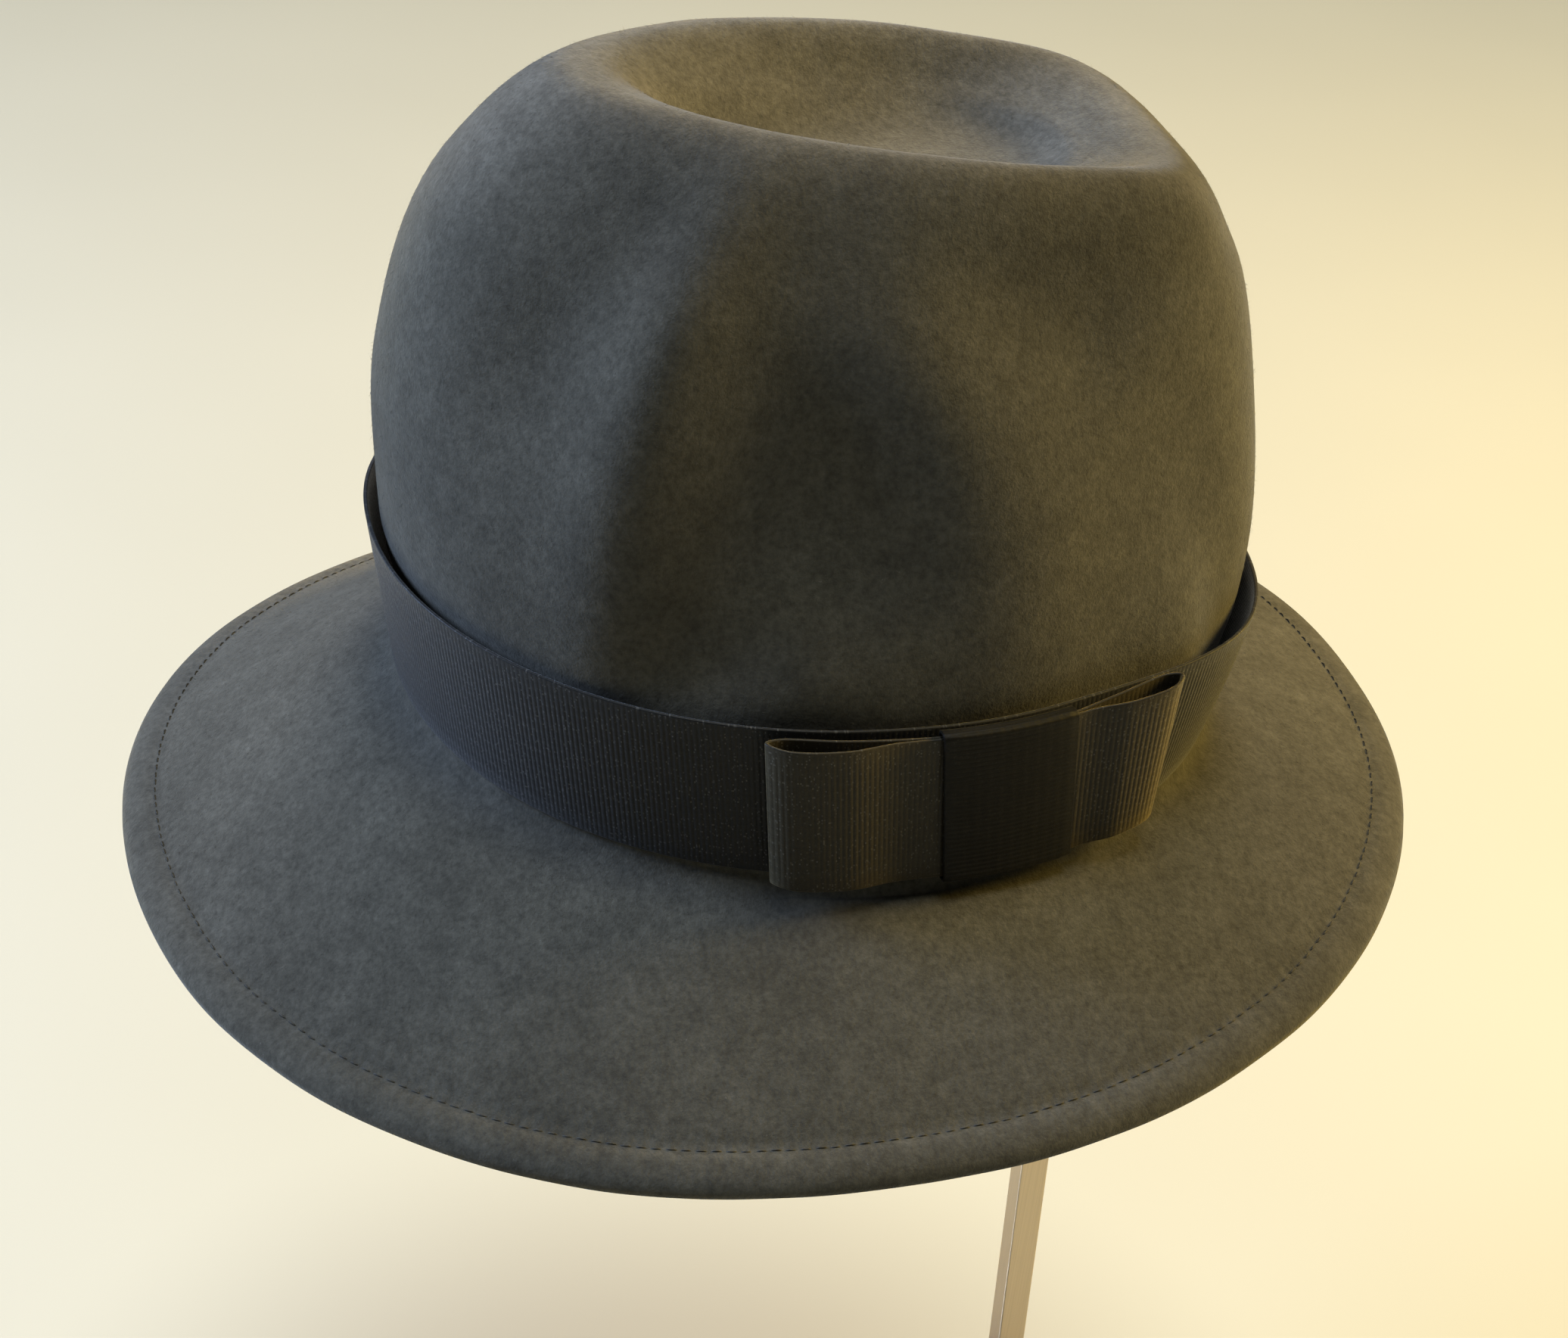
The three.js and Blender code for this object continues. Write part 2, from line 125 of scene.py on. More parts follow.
# How the stitches draw the felt down: depth, more at each stitch, and reach. The brim's reach is in
# rings, the welt's in millimetres. Between stitches the welt puffs up: height, place and reach.
BRIM_PULL = (0.25, 0.12, 0.16)
WELT_PULL = (0.4, 0.15, 1.5)
WELT_PUFF = (0.06, 3, 2.2)
WELT_TOP_FROM = -1.5

# Loose fibres of the nap: swirl (mean, spread), lift, gamma length (shape, scale, least), width, and how
# deep the root sits. None grow on the rings under the band.
NAP_FIBRES = 45000
NAP_SWIRL = (0.5, 0.9)
NAP_LIFT = (0.12, 0.75)
NAP_LENGTH = (4, 0.17, 0.25)
NAP_WIDTH = (0.022, 0.04)
NAP_ROOT = 0.08
BARE_RINGS = (7.0, 10.1)

# Ribbon band
BAND_THICKNESS = 1.0
BAND_HEIGHT = 38.8
BAND_BASE = -0.35
BAND_SIDE_RISE = -3.0
# Half width, half length, shift to the back and squareness of its two edges.
BAND_LOW = np.array((88.05, 100.35, 0, 0))
BAND_HIGH = np.array((88.25, 103.75, -4, 1))
RIB_PITCH = 1.2
RIB_DEPTH = 0.15

# Flat bow: the folded ribbon's centre line as share of the reach and millimetres out from the band.
# From the knot's edge out each loop rises a little, to its full rise at its end. The knot's lean is how
# far its top lies further to the front than its bottom.
BOW_AZIMUTH = 12.2
BOW_FRONT_REACH = 53.8
BOW_BACK_REACH = 41.5
BOW_RIBBON = 0.8
BOW_LOW = 0.2
BOW_WIDTH = 37.4
BOW_FRONT_RISE = 0.5
BOW_BACK_RISE = 3.2
BOW_RISE_FROM = 18
BOW_LOOP = np.array([
    (0, 1.9), (0.42, 1.9), (0.7, 2.0), (0.94, 2.3), (1, 4.2),
    (0.93, 6.7), (0.7, 6.2), (0.46, 3.15), (0, 3.0),
], float)
KNOT_HALF_WIDTH = 16
KNOT_SHIFT = 0.3
KNOT_LEAN = 1.1
KNOT_BACK = 0.7
KNOT_FRONT = 4.1
KNOT_OVER = 1.0
KNOT_CORNER = 1.2

# Camera, as fitted to the photograph; the image is taken to be 2072 by 1768.
IMAGE_WIDTH = 2072
CAMERA_AZIMUTH = 71.87
CAMERA_ELEVATION = 30.04
CAMERA_ROLL = 6.48
CAMERA_DISTANCE = 0.7301
CAMERA_TARGET = Vector((0, 0, 0.345))
CAMERA_OFFSET = (-0.0037, -0.02634)
FOCAL_PIXELS = 3993.13
SENSOR_WIDTH = 36.0

# Soft round lights about the hat: angle from the camera's side to its right, elevation, watts, colour.
LIGHTS = [
    ("cool window", -90, 25, 38.2, (0.503, 0.665, 1.0)),
    ("warm lamp", 110, 25, 38.3, (1.0, 0.687, 0.16)),
    ("soft back", 180, 58, 10.4, (1.0, 0.78, 0.585)),
]
LIT_POINT = Vector((0, 0, 0.38))
LIGHT_DISTANCE = 1.6
LIGHT_SIZE = 0.7
# Even soft light from straight above: watts per square metre, degrees across, colour.
TOP_LIGHT = (1.8, 25, (0.97, 1.0, 0.9))


def smoothstep(value, start, end):
    t = np.clip((value - start) / (end - start), 0, 1)
    return t * t * (3 - 2 * t)


def signed_power(value, power):
    return np.sign(value) * np.abs(value) ** power


def unit(vectors):
    return vectors / np.maximum(np.linalg.norm(vectors, axis=-1, keepdims=True), 1e-12)


# Felt surface

def loft(places):
    """Ring columns at places counted in rings, on a spline over the side profile's length."""
    step = np.hypot(np.diff(RINGS[:, 0]), np.diff(RINGS[:, 4]))
    span = np.maximum(4, step) ** 0.75
    slope = np.diff(RINGS, axis=0) / span[:, None]
    tangent = np.zeros_like(RINGS)
    tangent[0, :2] = slope[0, :2]
    tangent[-1] = slope[-1]
    before = span[:-1, None]
    after = span[1:, None]
    tangent[1:-1] = (slope[:-1] * after + slope[1:] * before) / (before + after)
    i = np.minimum(places.astype(int), len(RINGS) - 2)
    t = (places - i)[:, None]
    h = span[i][:, None]
    return ((2 * t**3 - 3 * t**2 + 1) * RINGS[i] + (t**3 - 2 * t**2 + t) * h * tangent[i]
            + (3 * t**2 - 2 * t**3) * RINGS[i + 1] + (t**3 - t**2) * h * tangent[i + 1])


def oval(azimuth, square):
    """A flat oval of unit half sizes, squarer at the back."""
    power = OVAL_POWER + square * smoothstep(np.sin(azimuth), SQUARE_FROM, 1)
    return signed_power(np.cos(azimuth), 2 / power), signed_power(np.sin(azimuth), 2 / power)


def ring_points(columns, azimuth):
    wide, long, shift, taper, level, back, side, square = (c[:, None] for c in columns.T)
    s = np.sin(azimuth)
    across, ahead = oval(azimuth, square)
    x = wide * across * (1 + taper * s)
    y = shift + long * ahead
    z = level + back * s + side * np.cos(2 * azimuth)
    return np.stack(np.broadcast_arrays(x, y, z), -1)


def dent_field(folded, level, dents):
    total = np.zeros_like(level)
    for at, height, depth, front, back, above, below, lean in dents:
        rise = level - height
        along = np.radians(folded - at) * DENT_ARC - lean * rise
        across = along / np.where(along < 0, front, back)
        upward = rise / np.where(rise < 0, below, above)
        total += depth * np.exp(-0.5 * (across**2 + upward**2))
    return total


def lumps(points):
    """Low uneven waves of hand-blocked felt, as a height in millimetres."""
    x, y, z = (points[..., k] for k in range(3))
    wave = np.sin(x / 13 + 1.7 * np.sin(y / 21) + 0.6) * np.sin(y / 16 + 1.3 * np.sin(z / 19))
    ripple = np.sin(z / 9 + x / 15 + 2 * np.sin(y / 12)) * np.sin(y / 8.5 - z / 13)
    return 0.22 * wave + 0.1 * ripple


def outer_felt(azimuth, places):
    """Points of the felt's outer surface, one row for each place."""
    points = ring_points(loft(places), azimuth)
    rows = places[:, None]
    fade_in, full, fade_out, gone = DENT_RINGS
    weight = smoothstep(rows, fade_in, full) * (1 - smoothstep(rows, fade_out, gone))
    folded = np.degrees(np.arctan2(np.sin(azimuth), np.abs(np.cos(azimuth))))
    side = (1 + RIGHT_SIDE_DENTS) / 2 + np.cos(azimuth) * (1 - RIGHT_SIDE_DENTS) / 2
    depth = dent_field(folded + 0 * rows, points[..., 2], DENTS) * side * weight
    start, smooth, end, uneven = SMOOTH_RINGS
    free = 1 - smoothstep(rows, start, smooth) * (1 - smoothstep(rows, end, uneven))
    marks = dent_field(folded + 0 * rows, points[..., 2], PRESS_MARKS) * side * weight
    depth = depth + (marks + lumps(points) * smoothstep(rows, 0, 1)) * free
    radius = np.maximum(np.hypot(points[..., 0], points[..., 1]), 1e-9)
    flat = points[..., :2] / radius[..., None]
    points[..., :2] -= depth[..., None] * flat
    return points


def felt_normals(azimuth, places):
    step = 1e-3
    turn = outer_felt(azimuth + step, places) - outer_felt(azimuth - step, places)
    low = np.maximum(places - step, 1e-4)
    high = np.minimum(places + step, GROOVE)
    out = outer_felt(azimuth, high) - outer_felt(azimuth, low)
    return unit(np.cross(out, turn))


# Meshes

def ring_faces(counts, wrap=False):
    """Faces between rings of vertices laid one after another. Counts may be equal, one against many
    for a pole, or one to three where the mesh gets finer."""
    starts = np.concatenate([[0], np.cumsum(counts)])
    quads = []
    triangles = []
    last = len(counts) if wrap else len(counts) - 1
    for r in range(last):
        s = (r + 1) % len(counts)
        a, b = starts[r], starts[s]
        m, n = counts[r], counts[s]
        i = np.arange(min(m, n) if min(m, n) > 1 else max(m, n))
        if m == n:
            j = (i + 1) % m
            quads.append(np.stack([a + i, b + i, b + j, a + j], 1))
        elif m == 1:
            triangles.append(np.stack([a + 0 * i, b + i, b + (i + 1) % n], 1))
        elif n == 1:
            triangles.append(np.stack([a + i, b + 0 * i, a + (i + 1) % m], 1))
        else:
            flip = m > n
            coarse, fine, many = (b, a, m) if flip else (a, b, n)
            j = (i + 1) % min(m, n)
            f = [fine + (3 * i + k) % many for k in range(4)]
            tri_a = np.stack([coarse + i, f[0], f[1]], 1)
            tri_b = np.stack([coarse + j, f[2], f[3]], 1)
            quad = np.stack([coarse + i, f[1], f[2], coarse + j], 1)
            triangles += [tri_a[:, ::-1], tri_b[:, ::-1]] if flip else [tri_a, tri_b]
            quads.append(quad[:, ::-1] if flip else quad)
    return quads, triangles


def mesh_piece(name, points, quads=(), triangles=(), uv=None):
    """A smooth mesh object. Points are in millimetres above the brim break."""
    world = (np.asarray(points, float) + (0, 0, BREAK_HEIGHT)) / 1000
    quads = np.concatenate(quads) if len(quads) else np.zeros((0, 4), int)
    triangles = np.concatenate(triangles) if len(triangles) else np.zeros((0, 3), int)
    corners = np.concatenate([quads.ravel(), triangles.ravel()])
    totals = np.concatenate([np.full(len(quads), 4), np.full(len(triangles), 3)])
    mesh = bpy.data.meshes.new(name)
    mesh.vertices.add(len(world))
    mesh.vertices.foreach_set("co", world.astype(np.float32).ravel())
    mesh.loops.add(len(corners))
    mesh.loops.foreach_set("vertex_index", corners.astype(np.int32))
    mesh.polygons.add(len(totals))
    starts = np.concatenate([[0], np.cumsum(totals)[:-1]])
    mesh.polygons.foreach_set("loop_start", starts.astype(np.int32))
    mesh.polygons.foreach_set("use_smooth", np.ones(len(totals), bool))
    mesh.update(calc_edges=True)
    if uv is not None:
        layer = mesh.uv_layers.new(name="weave")
        layer.data.foreach_set("uv", np.asarray(uv, np.float32).ravel())
    mesh.validate()
    piece = bpy.data.objects.new(name, mesh)
    bpy.context.scene.collection.objects.link(piece)
    return piece


def grid_piece(name, rows, wrap_rows, along=None, across=None):
    """A mesh from a grid of closed rings; along and across give the weave coordinates in metres."""
    count, size = rows.shape[:2]
    quads, triangles = ring_faces([size] * count, wrap_rows)
    uv = None
    if along is not None:
        next_along = np.append(along[1:], along[-1] + along[1] - along[0])
        next_across = np.append(across[1:], across[-1] + across[-1] - across[-2])
        u = np.stack([along, along, next_along, next_along], 1)
        bands = count if wrap_rows else count - 1
        uv = [np.stack([u, np.tile([across[r], next_across[r], next_across[r], across[r]], (size, 1))], -1)
              for r in range(bands)]
        uv = np.concatenate(uv)
    return mesh_piece(name, rows.reshape(-1, 3), quads, triangles, uv)


def spline(points, samples, closed=False):
    """Centripetal Catmull-Rom curve through points in a plane, evenly spaced along its length."""
    p = np.asarray(points, float)
    if closed:
        p = np.concatenate([p[-1:], p, p[:2]])
    else:
        p = np.concatenate([2 * p[:1] - p[1:2], p, 2 * p[-1:] - p[-2:-1]])
    dt = np.linalg.norm(np.diff(p, axis=0), axis=1) ** 0.5
    t = np.linspace(0, 1, 60, endpoint=False)[:, None]
    out = []
    for k in range(1, len(p) - 2):
        a, b, c = dt[k - 1], dt[k], dt[k + 1]
        m1 = ((p[k] - p[k - 1]) / a - (p[k + 1] - p[k - 1]) / (a + b) + (p[k + 1] - p[k]) / b) * b
        m2 = ((p[k + 1] - p[k]) / b - (p[k + 2] - p[k]) / (b + c) + (p[k + 2] - p[k + 1]) / c) * b
        out.append((2 * t**3 - 3 * t**2 + 1) * p[k] + (t**3 - 2 * t**2 + t) * m1
                   + (3 * t**2 - 2 * t**3) * p[k + 1] + (t**3 - t**2) * m2)
    dense = np.concatenate(out + [p[-2:-1]])
    gone = np.concatenate([[0], np.cumsum(np.linalg.norm(np.diff(dense, axis=0), axis=1))])
    at = np.linspace(0, gone[-1], samples, endpoint=not closed)
    curve = np.stack([np.interp(at, gone, dense[:, k]) for k in range(dense.shape[1])], 1)
    return curve, at, gone[-1]


# Felt body

COARSE = 384
FINE = 3 * COARSE
OUTER_ROWS = 138
INNER_ROWS = 40
WELT_ROWS = 17
FINE_FROM = 12.6


def azimuths(count):
    return np.arange(count) / count * 2 * np.pi


def groove_phase(azimuth):
    """Phase of the stitches at azimuths, evenly spaced along the groove, and their number."""
    ring = ring_points(RINGS[GROOVE:], azimuths(FINE * 2))[0]
    gone = np.concatenate([[0], np.cumsum(np.linalg.norm(np.diff(ring, axis=0, append=ring[:1]), axis=1))])
    count = round(gone[-1] / STITCH_PITCH)
    turn = np.interp(azimuth, np.linspace(0, 2 * np.pi, len(gone)), gone / gone[-1])
    return turn * count, count


def welt_frame(azimuth):
    """Groove points and the welt's out and up directions."""
    groove = outer_felt(azimuth, np.array([float(GROOVE)]))[0]
    edge = ring_points(BRIM_EDGE, azimuth)[0]
    out = unit(edge - groove)
    step = 1e-3
    turn = ring_points(BRIM_EDGE, azimuth + step)[0] - ring_points(BRIM_EDGE, azimuth - step)[0]
    return groove, out, unit(np.cross(out, turn))


def felt_hat():
    coarse = azimuths(COARSE)
    fine = azimuths(FINE)
    places = np.linspace(0, FINE_FROM, OUTER_ROWS)
    outer = outer_felt(coarse, places)
    rings = [outer[0, :1]] + [outer[k] for k in range(1, OUTER_ROWS)]
    phase, _ = groove_phase(fine)
    pull = 0.5 + 0.5 * np.cos(2 * np.pi * phase)
    groove, out, up = welt_frame(fine)
    deep, more, reach = BRIM_PULL
    for place in np.linspace(FINE_FROM, GROOVE, 5)[1:-1]:
        row = outer_felt(fine, np.array([place]))[0]
        near = np.exp(-((place - GROOVE) / reach) ** 2)
        rings.append(row - up * (near * (deep + more * pull))[:, None])
    section, _, _ = spline(WELT_SECTION, WELT_ROWS)
    deep, more, reach = WELT_PULL
    puff_height, puff_at, puff_reach = WELT_PUFF
    for o, u in section:
        top = u > WELT_TOP_FROM
        near = np.exp(-(o / reach) ** 2) if top else 0
        puff = puff_height * np.exp(-((o - puff_at) / puff_reach) ** 2) if top else 0
        height = u - near * (deep + more * pull) + puff * (1 - pull)
        rings.append(groove + out * o + up * height[:, None])
    inner_places = np.linspace(FINE_FROM, 0, INNER_ROWS)
    inner = outer_felt(coarse, inner_places) - FELT * felt_normals(coarse, np.maximum(inner_places, 1e-3))
    rings += [inner[k] for k in range(INNER_ROWS - 1)]
    rings.append(np.array([[0, RINGS[0, 2], RINGS[0, 4] - FELT]]))
    quads, triangles = ring_faces([len(r) for r in rings])
    return mesh_piece("felt_hat", np.concatenate(rings), quads, triangles)


def brim_stitches():
    """Sewing thread lying in the groove, one short stitch for each pucker."""
    rng = np.random.default_rng(SEED)
    around = azimuths(FINE * 2)
    phase, count = groove_phase(np.append(around, 2 * np.pi - 1e-9))
    sections = THREAD_SECTIONS
    sides = THREAD_SIDES
    t = np.linspace(-1, 1, sections)
    radius = THREAD_RADIUS * np.sqrt(np.maximum(1 - t**4, 0.08))
    dip = -THREAD_DIP * t**2 - THREAD_SINK
    turn = azimuths(sides)
    points = []
    quads = []
    triangles = []
    for k in range(count):
        share = STITCH_LENGTH / STITCH_PITCH * (1 + UNEVEN_LENGTH * rng.uniform(-1, 1))
        centre = k + 0.5 + UNEVEN_PLACE * rng.uniform(-1, 1)
        azimuth = np.interp(centre + t * share / 2, phase, np.append(around, 2 * np.pi))
        groove, out, up = welt_frame(azimuth)
        side = STITCH_OUT + UNEVEN_OUT * rng.uniform(-1, 1)
        axis = groove + out * side + up * dip[:, None]
        ring = (axis[:, None] + radius[:, None, None]
                * (np.cos(turn)[None, :, None] * out[:, None] + np.sin(turn)[None, :, None] * up[:, None]))
        start = len(points) * sections * sides
        points.append(ring.reshape(-1, 3))
        q, _ = ring_faces([sides] * sections)
        quads += [face + start for face in q]
        cap = np.arange(sides)
        low = np.stack([0 * cap[1:-1], cap[1:-1], cap[2:]], 1)
        triangles += [start + low, start + low[:, ::-1] + (sections - 1) * sides]
    return mesh_piece("brim_stitches", np.concatenate(points), quads, triangles)


# Fibres

def surface_samples(count, rng):
    """Random points spread evenly over the felt's outer surface, with normals and ways round and down."""
    places = np.linspace(0.02, GROOVE, 150)
    around = azimuths(360)
    grid = outer_felt(around, places)
    turn = np.roll(grid, -1, axis=1) - grid
    out = np.zeros_like(grid)
    out[:-1] = grid[1:] - grid[:-1]
    area = np.linalg.norm(np.cross(out, turn), axis=-1)[:-1]
    chosen = rng.choice(area.size, count, p=area.ravel() / area.sum())
    r, a = np.unravel_index(chosen, area.shape)
    u = rng.uniform(0, 1, (count, 1))
    v = rng.uniform(0, 1, (count, 1))
    b = (a + 1) % len(around)
    root = ((1 - u) * (1 - v) * grid[r, a] + u * (1 - v) * grid[r, b]
            + (1 - u) * v * grid[r + 1, a] + u * v * grid[r + 1, b])
    normal = unit(np.cross(out[r, a], turn[r, a]))
    return root, normal, unit(turn[r, a]), unit(out[r, a]), places[r]


def felt_nap():
    """Loose fibres of the nap, each a thin three-sided spike."""
    rng = np.random.default_rng(SEED + 1)
    root, normal, round_way, down_way, place = surface_samples(NAP_FIBRES, rng)
    under_band = (place > BARE_RINGS[0]) & (place < BARE_RINGS[1])
    root, normal, round_way, down_way = (v[~under_band] for v in (root, normal, round_way, down_way))
    n = len(root)
    swirl = rng.normal(*NAP_SWIRL, (n, 1))
    lift = rng.uniform(*NAP_LIFT, (n, 1))
    way = unit(np.cos(swirl) * round_way + np.sin(swirl) * down_way + lift * normal)
    shape, scale, least = NAP_LENGTH
    length = rng.gamma(shape, scale, (n, 1)) + least
    width = rng.uniform(*NAP_WIDTH, (n, 1))
    side = unit(np.cross(way, normal))
    other = np.cross(side, way)
    root = root - NAP_ROOT * normal
    base = [root + width * (math.cos(t) * side + math.sin(t) * other) for t in (0.0, 2.1, 4.2)]
    tip = root + way * length
    points = np.stack([*base, tip], 1).reshape(-1, 3)
    faces = np.array([(0, 1, 3), (1, 2, 3), (2, 0, 3), (0, 2, 1)])
    triangles = (np.arange(n)[:, None, None] * 4 + faces).reshape(-1, 3)
    return mesh_piece("felt_nap", points, (), [triangles])


# Ribbon

def band_points(azimuth, height, out):
    """Points on the band: azimuth, height from 0 to 1, millimetres out from its face."""
    columns = [low + (high - low) * height for low, high in zip(BAND_LOW, BAND_HIGH)]

    def edge(a):
        across, ahead = oval(a, columns[3])
        return np.stack(np.broadcast_arrays(columns[0] * across, columns[2] + columns[1] * ahead), -1)

    step = 2e-3
    along = unit(edge(azimuth + step) - edge(azimuth - step))
    p = edge(azimuth)
    z = BAND_BASE + BAND_SIDE_RISE * np.cos(2 * azimuth) + height * BAND_HEIGHT
    x = p[..., 0] + along[..., 1] * out
    y = p[..., 1] - along[..., 0] * out
    return np.stack(np.broadcast_arrays(x, y, z), -1)


def band_lengths():
    """Azimuths and the distance along the band's middle from the bow's centre."""
    azimuth = np.linspace(-np.pi, np.pi, 7201) + math.radians(BOW_AZIMUTH)
    p = band_points(azimuth, 0.5 + 0 * azimuth, 0 * azimuth)
    gone = np.concatenate([[0], np.cumsum(np.linalg.norm(np.diff(p, axis=0), axis=1))])
    return azimuth, gone - np.interp(math.radians(BOW_AZIMUTH), azimuth, gone), gone[-1]


BAND_AZIMUTH, BAND_GONE, BAND_LENGTH = band_lengths()


def azimuth_along(distance):
    return np.interp(distance, BAND_GONE, BAND_AZIMUTH)


def ribbon_section(width, thickness, face_rows):
    """Closed section of a ribbon: place across its width, offset from its middle, and rib strength."""
    half = thickness / 2
    edge = np.array([0.15, 0.5, 0.85]) * np.pi
    inset = half * 0.9
    face = np.linspace(inset, width - inset, face_rows)
    top = np.stack([width - inset + inset * np.sin(edge), half * np.cos(edge)], 1)
    bottom = np.stack([inset - inset * np.sin(edge), -half * np.cos(edge)], 1)
    section = np.concatenate([
        np.stack([face, np.full(face_rows, half)], 1), top,
        np.stack([face[::-1], np.full(face_rows, -half)], 1), bottom,
    ])
    ribbed = np.clip(np.minimum(section[:, 0], width - section[:, 0]) / 0.9 - 0.35, 0, 1)
    return section[:, 0], section[:, 1], ribbed


def ribs(distance, pitch=RIB_PITCH):
    """Depth below the rib crests, from 0 to 1."""
    return 1 - np.abs(np.sin(np.pi * distance / pitch)) ** 0.8


RIB_SAMPLES = 6


def hatband_ribbon():
    count = round(BAND_LENGTH / RIB_PITCH) * RIB_SAMPLES
    distance = np.linspace(-BAND_LENGTH / 2, BAND_LENGTH / 2, count, endpoint=False)
    azimuth = azimuth_along(distance)
    across, offset, ribbed = ribbon_section(BAND_HEIGHT, BAND_THICKNESS, 9)
    pitch = BAND_LENGTH / round(BAND_LENGTH / RIB_PITCH)
    hollow = ribs(distance, pitch) * RIB_DEPTH
    rows = []
    for a, o, r in zip(across, offset, ribbed):
        out = o - BAND_THICKNESS / 2 - np.sign(o) * r * hollow
        rows.append(band_points(azimuth, a / BAND_HEIGHT + 0 * azimuth, out))
    rows = np.array(rows)[::-1]
    return grid_piece("hatband_ribbon", rows, True, distance / 1000, across[::-1] / 1000)


def loop_rise(along):
    """How far a loop has risen at a distance along the band from the bow's middle."""
    reach = np.where(along < 0, BOW_FRONT_REACH, BOW_BACK_REACH)
    rise = np.where(along < 0, BOW_FRONT_RISE, BOW_BACK_RISE)
    return rise * np.maximum(0, (np.abs(along) - BOW_RISE_FROM) / (reach - BOW_RISE_FROM))


def bow_ribbon():
    back = BOW_LOOP * (BOW_BACK_REACH, 1)
    front = BOW_LOOP * (-BOW_FRONT_REACH, 1)
    route = np.concatenate([back, front[1:-1][::-1]])
    _, _, length = spline(route, 10, closed=True)
    count = round(length / RIB_PITCH) * RIB_SAMPLES
    curve, distance, _ = spline(route, count, closed=True)
    way = unit(np.roll(curve, -1, axis=0) - np.roll(curve, 1, axis=0))
    side = np.stack([way[:, 1], -way[:, 0]], 1)
    across, offset, ribbed = ribbon_section(BOW_WIDTH, BOW_RIBBON, 9)
    hollow = ribs(distance, length / round(length / RIB_PITCH)) * RIB_DEPTH * 0.8
    rows = []
    for a, o, r in zip(across, offset, ribbed):
        place = curve + side * (o - np.sign(o) * r * hollow)[:, None]
        up = BOW_LOW + a + loop_rise(place[:, 0])
        rows.append(band_points(azimuth_along(place[:, 0]), up / BAND_HEIGHT, place[:, 1]))
    rows = np.array(rows)
    return grid_piece("bow_ribbon", rows, True, distance / 1000, across / 1000), length


def knot_route():
    """Rounded oblong that the knot ribbon's middle follows: height and distance out, in millimetres."""
    low = BOW_LOW - KNOT_OVER
    high = BOW_LOW + BOW_WIDTH + KNOT_OVER
    r = KNOT_CORNER
    corners = [(KNOT_FRONT - r, high - r, 0), (KNOT_BACK + r, high - r, 90),
               (KNOT_BACK + r, low + r, 180), (KNOT_FRONT - r, low + r, 270)]
    turn = np.radians(np.linspace(0, 90, 13))
    path = np.concatenate([
        np.stack([o + r * np.cos(turn + math.radians(f)), u + r * np.sin(turn + math.radians(f))], 1)
        for o, u, f in corners
    ])
    path = np.concatenate([path, path[:1]])
    gone = np.concatenate([[0], np.cumsum(np.linalg.norm(np.diff(path, axis=0), axis=1))])
    length = gone[-1]
    count = round(length / RIB_PITCH) * RIB_SAMPLES
    at = np.linspace(0, length, count, endpoint=False)
    return np.stack([np.interp(at, gone, path[:, k]) for k in range(2)], 1), at, length


def knot_ribbon():
    curve, distance, length = knot_route()
    way = unit(np.roll(curve, -1, axis=0) - np.roll(curve, 1, axis=0))
    side = np.stack([way[:, 1], -way[:, 0]], 1)
    width = 2 * KNOT_HALF_WIDTH
    across, offset, ribbed = ribbon_section(width, BOW_RIBBON, 11)
    hollow = ribs(distance, length / round(length / RIB_PITCH)) * RIB_DEPTH * 0.9
    rows = []
    for a, o, r in zip(across, offset, ribbed):
        place = curve + side * (o - np.sign(o) * r * hollow)[:, None]
        lean = ((place[:, 1] - BOW_LOW) / BOW_WIDTH - 0.5) * KNOT_LEAN
        azimuth = azimuth_along(a - KNOT_HALF_WIDTH + KNOT_SHIFT - lean)
        rows.append(band_points(azimuth, place[:, 1] / BAND_HEIGHT, place[:, 0]))
    rows = np.array(rows)
    return grid_piece("knot_ribbon", rows, True, distance / 1000, across / 1000), width, length


# Materials

def new_material(name):
    material = bpy.data.materials.new(name)
    material.use_nodes = True
    tree = material.node_tree
    return material, tree, tree.nodes["Principled BSDF"]


def add_node(tree, kind, **values):
    node = tree.nodes.new(kind)
    for key, value in values.items():
        if key in node.inputs:
            node.inputs[key].default_value = value
        else:
            setattr(node, key, value)
    return node


def noise(tree, vector, scale, detail=3.0, roughness=0.55):
    node = add_node(tree, "ShaderNodeTexNoise")
    node.inputs["Scale"].default_value = scale
    node.inputs["Detail"].default_value = detail
    node.inputs["Roughness"].default_value = roughness
    tree.links.new(vector, node.inputs["Vector"])
    return node.outputs["Fac"]


def ramp(tree, fac, stops):
    node = tree.nodes.new("ShaderNodeValToRGB")
    elements = node.color_ramp.elements
    while len(elements) < len(stops):
        elements.new(0.5)
    for element, (position, colour) in zip(elements, stops):
        element.position = position
        element.color = (*colour, 1)
    tree.links.new(fac, node.inputs["Fac"])
    return node.outputs["Color"]


def mix(tree, kind, factor, a, b):
    node = tree.nodes.new("ShaderNodeMix")
    node.data_type = "RGBA"
    node.blend_type = kind
    for socket, value in ((node.inputs["Factor"], factor), (node.inputs["A"], a), (node.inputs["B"], b)):
        if isinstance(value, bpy.types.NodeSocket):
            tree.links.new(value, socket)
        else:
            socket.default_value = value
    return node.outputs["Result"]


def fade(tree, value, start, end):
    """A smooth step from 0 at the start to 1 at the end."""
    node = add_node(tree, "ShaderNodeMapRange", interpolation_type="SMOOTHSTEP")
    node.inputs["From Min"].default_value = start
    node.inputs["From Max"].default_value = end
    tree.links.new(value, node.inputs["Value"])
    return node.outputs["Result"]


